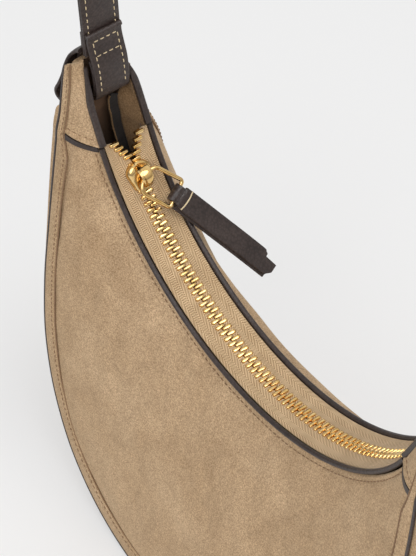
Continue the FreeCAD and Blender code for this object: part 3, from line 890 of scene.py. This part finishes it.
def make_edges():
    strip_grid, rows = whole_edge()
    across = np.linspace(-1, 1, strip_grid.shape[1])
    crown = STRIP_THICK * (1 - 0.5 * across ** 4) + STRIP_LIFT
    for name, side in SIDES:
        out = (0, side, 0)
        grid = flip(strip_grid, side)
        n = normals(grid, out)
        strip = Mesh().sheet(grid + n * crown[None, :, None], out, STRIP_THICK)
        strip.piece(name + "_edge_strip_suede", SUEDE, name + "_edge_strip")
        stitches = Mesh().stitch(grid[:, 1] + n[:, 1] * crown[1], n[:, 1])
        # A thin tube in thread colour along the strip's inner edge: painted shade of the seam
        # groove
        seam = grid[:, 0] + n[:, 0] * GROOVE_SHADE_LIFT + unit(grid[:, 0] - grid[:, 1]) * GROOVE_SHADE_OUT
        stitches.bar(seam, circle(GROOVE_SHADE_RADIUS, 8))
        stitches.piece(name + "_edge_stitches_and_groove_shade", TONAL)
        past = 1 + (EDGE_THICK / 2 + EDGE_GAP) / row_lengths(rows)
        line = edge_line(rows, past, rows[:, 5] + EDGE_FORWARD, side)
        edge = Mesh().bar(line, rounded_box(EDGE_THICK, EDGE_WIDTH, 0.4))
        edge.piece(name + "_edge_paint", EDGE_PAINT, name + "_edge_binding")
        make_lip(name, side, rows)


def make_lip(name, side, rows):
    # The gusset's turned edge, standing a little past the painted edge, and flat under the base
    z = rows[:, 4]
    size = ease(z, LIP_LOW_Z) * (1 - ease(z, LIP_HIGH_Z))
    size = size * (1 - LIP_THIN_SHARE * (1 - ease(z, LIP_FULL_Z)))
    keep = np.flatnonzero(size > LIP_LEAST)
    rows = rows[keep]
    size = size[keep]
    past = 1 + (LIP_REACH / 2 * size - LIP_SINK) / row_lengths(rows)
    path = edge_line(rows, past, rows[:, 5] - LIP_BEHIND, side)
    scale = np.stack([size, np.ones_like(size)], axis=1)
    sections = sweep(path, ALONG_Y, rounded_box(LIP_REACH, LIP_WIDTH, 0.6) * scale[:, None])
    lip = Mesh()
    for part in np.split(sections, np.flatnonzero(np.diff(keep) > 1) + 1):
        lip.loft(part)
    lip.piece(name + "_gusset_lip_suede", SUEDE)


# Gusset sides, end walls behind the horns, and the flat base
def across_grid(rows, inset, swell, end, limits=(-1.0, 1.0)):
    # A sheet from side to side along the outer edge, swelling outward in the middle
    t = np.linspace(*limits, 25)
    y = (rows[:, 5] - inset)[:, None] * t[None, :]
    outward = swell * (1 - t ** 6)[None, :] / row_lengths(rows)[:, None]
    return settle(row_points(rows, 1 + outward, y) * (end, 1, 1))


def make_gusset():
    rows = panel_rows()
    rows = rows[rows[:, 3] > BASE_X]
    for end_name, end in ENDS:
        out = (end, 0, -0.3)
        grid = across_grid(rows, PANEL_THICK + GAP, GUSSET_SWELL, end)
        grid[..., 2] = np.maximum(grid[..., 2], GUSSET_LOW_Z)
        grid = wavy(grid, normals(grid, out), *GUSSET_WAVES)
        gusset = Mesh().sheet(grid, out, GUSSET_THICK)
        gusset.piece(end_name + "_gusset_suede", SUEDE, end_name + "_gusset")
        inner = grid - normals(grid, out) * (GUSSET_THICK + GAP / 2)
        lining = Mesh().sheet(inner[:, 2:-2], out, GUSSET_LINING)
        lining.piece(end_name + "_gusset_lining", LINING)
    t = np.linspace(-1, 1, BASE_STEPS)
    x, y = np.meshgrid(BASE_X * t, BASE_Y * t, indexing="ij")
    base = Mesh().sheet(np.stack([x, y, 0 * x], axis=-1), (0, 0, -1), GUSSET_THICK)
    base.piece("base_panel_suede", SUEDE, "base_panel")


def make_end_walls():
    rows = horn_rows()
    z = rows[:, 4]
    middle = rows[(z > SLOT_LOW_Z - SLOT_LAP) & (z < SLOT_HIGH_Z + SLOT_LAP)]
    inset = HORN_THICK + 3 * GAP
    slot = SLOT_Y / (middle[0, 5] - inset)
    parts = ((rows[z < SLOT_LOW_Z], (-1, 1)), (rows[z > SLOT_HIGH_Z], (-1, 1)),
             (middle, (-1, -slot)), (middle, (slot, 1)))
    for end_name, end in ENDS:
        out = (end, 0, 0)
        shift = (-end * (GUSSET_THICK + WALL_LINING_GAP), 0, 0)
        wall = Mesh()
        inner = Mesh()
        for part, limits in parts:
            grid = across_grid(part, inset, WALL_SWELL, end, limits)
            wall.sheet(grid, out, GUSSET_THICK)
            inner.sheet(grid[:, 1:-1] + shift, out, WALL_LINING)
        wall.piece(end_name + "_end_wall_suede", SUEDE, end_name + "_end_wall")
        inner.piece(end_name + "_end_wall_lining", LINING)


def make_facings():
    # Suede facings inside the bag's ends, in a darker copy of the suede that is painted shade; the
    # back one has a leather tape and a hem at its foot, the tape near-black so that it also paints
    # the corner's shade
    rows = smooth(np.concatenate([panel_rows()[-16:-3], horn_rows()]), 80)
    rows = rows[rows[:, 1] < FACING_TOP_Z]
    length = row_lengths(rows)[:, None]
    s = np.linspace(0, 1, 15)[None, :]
    depth = np.minimum(FACING_DEPTH, length - FACING_END_GAP)
    along = (FACING_START + (depth - FACING_START) * s) / length
    slope = FACING_SLOPE * (1 - ease(rows[:, 1:2], FACING_FLAT_Z))
    y = rows[:, None, 2] - FACING_INSET - slope * s ** FACING_BOW
    taped = rows[:, 1] < FACING_TAPE_Z
    for end_name, end in ENDS:
        facing = Mesh()
        tape = Mesh()
        for _, side in SIDES:
            grid = flip(row_points(rows, along, y), side, end)
            facing.sheet(grid, (0, -side, 0), FACING_THICK)
            if side < 0:
                continue
            middle = grid[taped, -1] - (0, FACING_TAPE_Y, 0)
            # The tape's near-black tone is partly painted shade of the corner
            tape.bar(middle, rounded_box(*FACING_TAPE_BOX))
            facing.bar(middle - (0, FACING_HEM_Y, 0), rounded_box(*FACING_HEM_BOX))
        facing.piece(end_name + "_facing_suede_painted_shade", SHADED_FACING)
        tape.piece(end_name + "_inner_seam_tape", SEAM_TAPE_AND_CORNER_SHADE)


# Rim piping: leather rolled over a cord
def make_piping():
    turns = np.linspace(0, 2 * math.pi, 24, endpoint=False)
    crease = 1 - ridge(turns, *PIPING_CREASE)
    profile = circle(1.0, 24) * crease[:, None]
    for name, side in SIDES:
        path = at(RIM_ANGLES, ZIP_RADIUS, RIM_Y * side)
        roll = Mesh().bar(path, PIPING_RADII[name] * profile)
        roll.piece(name + "_piping_roll", LEATHER, name + "_rim_piping")


# Zip: woven tapes, meshed teeth that part at the open end, and the bottom stop
def tape_inner_y(angle):
    spread = np.clip((CLOSED_ANGLE - angle) / (CLOSED_ANGLE + SEAM_ANGLE), 0, 1)
    return TAPE_IN_Y + spread * (TAPE_END_Y - TAPE_IN_Y)


def make_tapes():
    angles = RIM_ANGLES[:, None]
    inner = tape_inner_y(angles) - TAPE_UNDER_TEETH
    t = np.linspace(0, 1, 17)[None, :]
    y = inner + (TAPE_OUT_Y - inner) * t
    lift = TAPE_THICK / 2 - TAPE_SAG * np.sin(math.pi * np.clip(1.4 * t - 0.4, 0, 1))
    for name, side in SIDES:
        grid = at(angles + 0 * y, ZIP_RADIUS - lift, y * side)
        tape = Mesh().sheet(grid, ALONG_Z, TAPE_THICK, 2)
        tape.piece("zip_tape_" + name + "_weave", TAPE, "zip_tape_" + name)


def tooth_sections(y_shift):
    # A bar across the zip: slim round head, then a stout clamp on the tape's edge
    sections = []
    for y, half_x, half_z in TOOTH_STATIONS:
        ring = rounded_box(2 * half_x, 2 * half_z, TOOTH_ROUND * half_x, 2)
        sections.append([(x, y + y_shift, z) for x, z in ring])
    return np.array(sections)


def on_arc(points, angle):
    # From a place along X at the arc's low point, round the arc's centre
    x, z = turned(points[..., 0], points[..., 2] - ZIP_RADIUS, angle)
    return np.stack([x, points[..., 1], ARC_Z + z], axis=-1)


def make_teeth():
    step = math.degrees(TOOTH_PITCH / ZIP_RADIUS)
    for name, side, shift in (("back", 1, 0.0), ("front", -1, 0.5)):
        row = Mesh()
        chain = np.arange(CLOSED_ANGLE + shift * step, CHAIN_END_ANGLE, step)
        places = [(angle, 0.0) for angle in chain]
        for i in range(OPEN_TEETH):
            angle = CLOSED_ANGLE - (i + 1) * OPEN_STEP_SHARE * step
            places.append((angle, float(tape_inner_y(angle)) - TOOTH_OUT_Y - 2 * GAP))
        for angle, y_shift in places:
            row.loft(on_arc(tooth_sections(y_shift), angle) * (1, side, 1))
        row.piece("zip_teeth_" + name + "_metal", GOLD, "zip_teeth_" + name)
    path = np.array([[STOP_X, y, 0.0] for y in np.linspace(-STOP_Y, STOP_Y, 9)])
    bar = sweep(path, ALONG_Z, rounded_box(*STOP_BOX))
    stop = Mesh().loft(on_arc(bar, CHAIN_END_ANGLE + step / 2))
    stop.piece("zip_bottom_stop_metal", GOLD, "zip_bottom_stop")


# Slider: polished shells with a hooded crown and a bridge for the ring
def slider_outline():
    # Half widths along the slider, round at its open end and drawn in at the nose
    t = np.linspace(-1, 1, 48)
    half = np.interp(t, [-1, -0.3, 1], [SLIDER_Y, SLIDER_Y, SLIDER_NOSE_Y])
    tail = np.sqrt(np.clip(1 - np.clip((-t - 0.15) / 0.85, 0, 1) ** 2.4, 0.03, 1))
    nose = np.sqrt(np.clip(1 - np.clip((t - 0.78) / 0.22, 0, 1) ** 2.4, 0.10, 1))
    return t * SLIDER_HALF, half * tail * nose


def shell_section(x, half, up):
    # One cross-section of a shell: its crown, then the channel for the teeth
    t = np.linspace(-1, 1, 21)
    rim = np.sqrt(np.clip(1 - np.abs(t) ** 8, 0, 1))
    high = SLOT_HALF + SLIDER_RIM + (SLIDER_TOP - SLIDER_WALL - SLOT_HALF) * rim
    crown = np.interp(x, HOOD_X, HOOD_HEIGHT) if up > 0 else UNDER_CROWN
    high = high + crown * np.cos(t * math.pi / 2) ** CROWN_BOW
    inner = max(min(CHANNEL_Y, half - SLIDER_WALL), 0.3)
    low = [(half, SLOT_HALF), (inner, SLOT_HALF), (inner, CHANNEL_HALF)]
    low = low + [(-y, z) for y, z in low[::-1]]
    return [(x, y, up * z) for y, z in list(zip(half * t, high)) + low]


def make_slider():
    for name, up in (("slider_body", 1), ("slider_underplate", -1)):
        lofts = [np.array([shell_section(x, half, up) for x, half in zip(*slider_outline())])]
        if up > 0:
            lofts += [bridge_sections(), bullet_sections()]
        shell = Mesh()
        for sections in lofts:
            shell.loft(on_arc(sections, SLIDER_ANGLE))
        shell.piece(name + "_metal", GOLD, name, body="slider", sharp=50)


def bullet_sections():
    # The solid back of the bridge, round on top, clear of the ring's bar
    t = np.linspace(0, 1, 15)[:, None]
    turn = np.linspace(0, math.pi, 17)[None, :]
    rise = BULLET_RISE * np.sin(math.pi / 2 * (0.06 + 0.94 * t) ** 0.7)
    half = BULLET_HALF * (0.25 + 0.75 * np.sqrt(t * (2 - t)))
    z = BULLET_FOOT + (BULLET_LOW - BULLET_FOOT + rise) * np.sin(turn) ** 0.8
    return np.stack([BULLET_X + BULLET_LENGTH * t + 0 * z, half * np.cos(turn), z], axis=-1)


def bridge_sections():
    # A full arch along the slider, broad and round at its back, slim at the nose
    t = np.linspace(0, math.pi, BRIDGE_STEPS)
    high = BRIDGE_FOOT + BRIDGE_RISE * np.sin(t) ** 0.75
    path = np.stack([-BRIDGE_HALF * np.cos(t), 0 * t, high], axis=1)
    share = np.linspace(0, 1, BRIDGE_STEPS)
    width = np.interp(share, [0, 0.25, 0.5, 0.75, 1], [5.6, 6.2, 5.6, 4.2, 3.2])
    thick = np.interp(share, [0, 0.5, 1], [1.5, 1.4, 1.3])
    ring = circle(0.5, 24)
    bow = 0.5 * np.sign(ring[:, 1]) * np.abs(2 * ring[:, 1]) ** 0.8
    rings = np.stack([thick[:, None] * ring[:, 0], width[:, None] * bow], axis=-1)
    return sweep(path, ALONG_Y, rings)


def place_pull(points):
    # From flat along X with the near bar at the origin, to its place in the slider's bridge
    x, z = turned(points[..., 0], points[..., 2], PULL_TILT)
    x, y = turned(x, points[..., 1], PULL_YAW)
    return on_arc(np.stack([x + BAR_OFFSET, y, z + BAR_Z], axis=-1), SLIDER_ANGLE)


def make_ring():
    half = RING_WIDTH / 2
    near = RING_NEAR_RADIUS
    tight = RING_CORNER_RADIUS
    far = RING_LENGTH - tight
    path = []
    for x, y, radius, first in ((near, near - half, near, 180), (far, tight - half, tight, 270),
                                (far, half - tight, tight, 0), (near, half - near, near, 90)):
        for turn in np.radians(np.linspace(first, first + 90, 9)):
            path.append((x + radius * math.cos(turn), y + radius * math.sin(turn), 0))
    path = np.array(path)
    along = unit(np.roll(path, -1, axis=0) - np.roll(path, 1, axis=0))
    across = np.cross(along, ALONG_Z)
    ring = circle(WIRE_RADIUS, 14)[None]
    sections = path[:, None] + ring[..., :1] * across[:, None] + ring[..., 1:] * ALONG_Z
    wire = Mesh().loft(place_pull(sections), closed=True)
    wire.piece("pull_ring_wire", GOLD, "pull_ring", body="ring")


def place_tab(points):
    # The strip hangs a little askew on the ring's far bar
    x, y = turned(points[..., 0], points[..., 1], -TAB_SKEW)
    return place_pull(np.stack([x + RING_LENGTH, y, points[..., 2]], axis=-1))


def make_tab():
    # Two glued layers with a stepped end, and a narrower tongue folded round the ring's bar
    strip = Mesh()
    upward = place_pull(np.array([0, 0, 1.0])) - place_pull(np.zeros(3))
    for level, last, low in TAB_LAYERS:
        y = np.linspace(low, TAB_HIGH_Y, 41)[None, :]
        share = np.linspace(0, 1, 61)[:, None]
        cut = sum(deep * ease(sign * y, limits) for deep, sign, limits in TAB_CUTS)
        x = TAB_START + (last - TAB_START) * share - cut * share ** 6
        z = level + TAB_RIPPLE * np.sin(TAB_RIPPLE_STEP * x) - TAB_DROOP * x ** 2
        grid = place_tab(np.stack([x, y + 0 * x, z], axis=-1))
        strip.sheet(grid, upward, TAB_LAYER - TAB_LAYER_GAP)
    strip.piece("pull_tab_leather", LEATHER, "pull_tab", body="tab")
    turns = np.radians(np.linspace(60, 300, 25))
    loop = [(FOLD_RADIUS * math.cos(t), 0, FOLD_RADIUS * math.sin(t)) for t in turns]
    path = smooth(FOLD_FROM + loop + FOLD_TO, 61)
    wide = np.interp(np.abs(path[:, 0]), [0, 1.5, 5.2], [0.78, 0.80, 1.0]) * TAB_WIDTH
    rings = np.array([rounded_box(TAB_LAYER, w, 0.4) for w in wide])
    fold = Mesh().loft(place_tab(sweep(path, ALONG_Y, rings)))
    fold.piece("pull_tab_fold", FOLD_LEATHER, "pull_tab", body="tab")
    y = np.linspace(-RAW_EDGE_Y, RAW_EDGE_Y, 21)
    edge = np.stack([RAW_EDGE_X - RAW_EDGE_BOW * y * y, y, RAW_EDGE_Z + 0 * y], axis=1)
    raw = Mesh().loft(place_tab(sweep(edge, ALONG_Z, rounded_box(*RAW_EDGE_BOX))))
    raw.piece("pull_tab_raw_edge", CREAM, body="tab")


# Strap: two sewn layers in an arch, and the loops that hold it
def strap_path(offset):
    x = STRAP_X + offset
    legs = np.linspace(STRAP_FOOT_Z, STRAP_BEND_Z, 40)
    turns = np.linspace(0, math.pi, 81)[1:-1]
    right = [(x, 0, z) for z in legs]
    arch = [(x * math.cos(t), 0, STRAP_BEND_Z + x * math.sin(t)) for t in turns]
    return np.array(right + arch + [(-x, 0, z) for z in legs[::-1]])


def make_strap():
    for name, face in (("strap_outer", 1), ("strap_backing", -1)):
        path = strap_path(face * STRAP_OFFSET)
        layer = Mesh().bar(path, rounded_box(STRAP_LAYER, STRAP_WIDTH, 0.45))
        layer.piece(name + "_leather", LEATHER, name, body="strap")
        stitches = Mesh()
        from_bend = path - (0, 0, STRAP_BEND_Z)
        out = unit(np.where(from_bend[:, 2:] > 0, from_bend, path * (1, 0, 0))) * face
        surface = path + out * STRAP_LAYER / 2
        for y in (-STRAP_STITCH_Y, STRAP_STITCH_Y):
            stitches.stitch(surface + (0, y, 0), out, STRAP_STITCH)
        stitches.piece(name + "_stitches", CREAM, body="strap")


def make_loops():
    for end_name, end in ENDS:
        loop = Mesh()
        path = smooth([(x * end, 0, z) for x, z in LOOP_ROUTE], 121)
        loop.bar(path, rounded_box(*LOOP_BOX))
        across = np.linspace(-LOOP_WIDTH / 2, LOOP_WIDTH / 2, 15)
        roll = np.array([[LOOP_ROLL_X * end, y, LOOP_ROLL_Z] for y in across])
        loop.bar(roll, circle(LOOP_ROLL_RADIUS, 14), ALONG_Z)
        back = smooth([(x * end, 0, z) for x, z in BACKING_ROUTE], 41)
        loop.bar(back, rounded_box(*LOOP_BOX))
        route = smooth(PATCH_ROUTE, 61)[:, None]
        t = np.linspace(-1, 1, 33)[None, :]
        x = route[..., 0] - PATCH_CURL * t ** 6
        grid = np.stack([x * end, route[..., 2] * t, route[..., 1] + 0 * x], axis=-1)
        loop.sheet(settle(grid), (end, 0, 0), LOOP_THICK)
        loop.piece(end_name + "_strap_loop_leather", LEATHER, end_name + "_strap_loop")
        make_loop_stitches(end_name, end, path)


def make_loop_stitches(end_name, end, path):
    # A box of stitches under the roll, then two rows down the inner leg
    across = frames(path, ALONG_Y)[0]
    out = across * np.sign(across[5, 0]) * -end
    face = path + out * LOOP_THICK / 2
    stitches = Mesh()
    top, low, last = np.searchsorted(distances(path), LOOP_STITCH_STOPS)
    for y in (-LOOP_STITCH_Y, LOOP_STITCH_Y):
        line = face[top:last] + (0, y, 0)
        stitches.stitch(line, out[top:last], STRAP_STITCH)
    y = np.linspace(-LOOP_STITCH_Y, LOOP_STITCH_Y, 9)
    for i in (top, low):
        line = face[i] + np.stack([0 * y, y, 0 * y], axis=1)
        stitches.stitch(line, np.tile(out[i], (len(y), 1)), STRAP_STITCH)
    stitches.piece(end_name + "_strap_loop_stitches", CREAM)


make_panels()
make_horns()
make_edges()
make_gusset()
make_end_walls()
make_facings()
make_piping()
make_tapes()
make_teeth()
make_slider()
make_ring()
make_tab()
make_strap()
make_loops()
CAD_LOOKS = {"base_board": BOARD, "left_strap_pin": LEATHER, "right_strap_pin": LEATHER}
for node, material in CAD_LOOKS.items():
    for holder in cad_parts[node].material_slots:
        holder.material = material

# Studio: pale floor, soft light from the upper right, camera at the photo's view (metres)
BACKDROP = rgb(239, 239, 239)
FLOOR_COLOUR = rgb(240, 240, 240)
FLOOR_TONE = rgb(243, 243, 243)
FLOOR_EVEN = 0.5
FLOOR_HALF = 6.0
WORLD_LIGHT = 0.62
# How bright the world is in mirrors, from low to high
MIRROR_RANGE = {"From Min": 0.1, "From Max": 0.6, "To Min": 0.45, "To Max": 1.0}
LIGHT_TARGET = (0, 0, 0.1)
# Name, place, size and power
LIGHTS = (("key", (0.8, 0.2, 2.0), 1.6, 21), ("fill", (0.7, -1.4, 1.5), 1.4, 12))
CAMERA_PLACE = (0.348918, -0.267762, 0.741114)
# Directions to the picture's right, up and back to the eye
CAMERA_AXES = (
    (0.589655, 0.807278, -0.024694), (-0.608780, 0.464344, 0.643250),
    (0.530748, -0.364263, 0.765258),
)
CAMERA_LENS = 110.37
CAMERA_SENSOR = 36.0
CAMERA_NEAR = 0.01


def make_stage():
    # To the camera the floor is half an even tone; the rest of it carries the bag's shadow
    s = Shader("floor")
    s.set(Base_Color=FLOOR_COLOUR, Roughness=0.9, Specular_IOR_Level=0.0)
    seen = s.math("MULTIPLY", s.node("LightPath").outputs["Is Camera Ray"], FLOOR_EVEN)
    lit = s.tree.nodes["Principled BSDF"].outputs[0]
    tone = s.node("Emission", {"Color": FLOOR_TONE}).outputs[0]
    blend = s.node("MixShader", {0: seen, 1: lit, 2: tone})
    s.set("Material Output", Surface=blend.outputs[0])
    mesh = bpy.data.meshes.new("floor")
    corners = [(-1, -1), (1, -1), (1, 1), (-1, 1)]
    mesh.from_pydata([(x * FLOOR_HALF, y * FLOOR_HALF, 0) for x, y in corners], [], [(0, 1, 2, 3)])
    mesh.materials.append(s.owner)
    floor = add_object("floor", mesh)


def make_lights():
    for name, place, size, power in LIGHTS:
        lamp = bpy.data.lights.new(name, "AREA")
        lamp.shape = "DISK"
        lamp.size = size
        lamp.energy = power
        obj = add_object(name, lamp)
        obj.location = place
        aim = Vector(LIGHT_TARGET) - Vector(place)
        obj.rotation_euler = aim.to_track_quat("-Z", "Y").to_euler()


def make_world():
    # Even light on the bag, a brighter upper half in mirrors, and a pale tone to the camera
    s = Shader("studio", bpy.data.worlds)
    path = s.node("LightPath")
    split = s.node("SeparateXYZ", {0: s.node("TexCoord").outputs["Generated"]})
    mirrored = s.node("MapRange", {"Value": split.outputs["Z"], **MIRROR_RANGE}).outputs[0]
    strength = WORLD_LIGHT
    for kind, value in (("Glossy", mirrored), ("Transmission", 1.0), ("Camera", 1.0)):
        ray = path.outputs["Is " + kind + " Ray"]
        strength = s.node("Mix", {"Factor": ray, "A": strength, "B": value}).outputs["Result"]
    bpy.context.scene.world = s.set("Background", Color=BACKDROP, Strength=strength)


def make_camera():
    data = bpy.data.cameras.new("camera")
    data.sensor_width = CAMERA_SENSOR
    data.lens = CAMERA_LENS
    data.clip_start = CAMERA_NEAR
    camera = add_object("camera", data)
    turn = Matrix(CAMERA_AXES).transposed().to_4x4()
    camera.matrix_world = Matrix.Translation(CAMERA_PLACE) @ turn
    bpy.context.scene.camera = camera


make_stage()
make_lights()
make_world()
make_camera()
bpy.context.scene.view_settings.view_transform = "Standard"
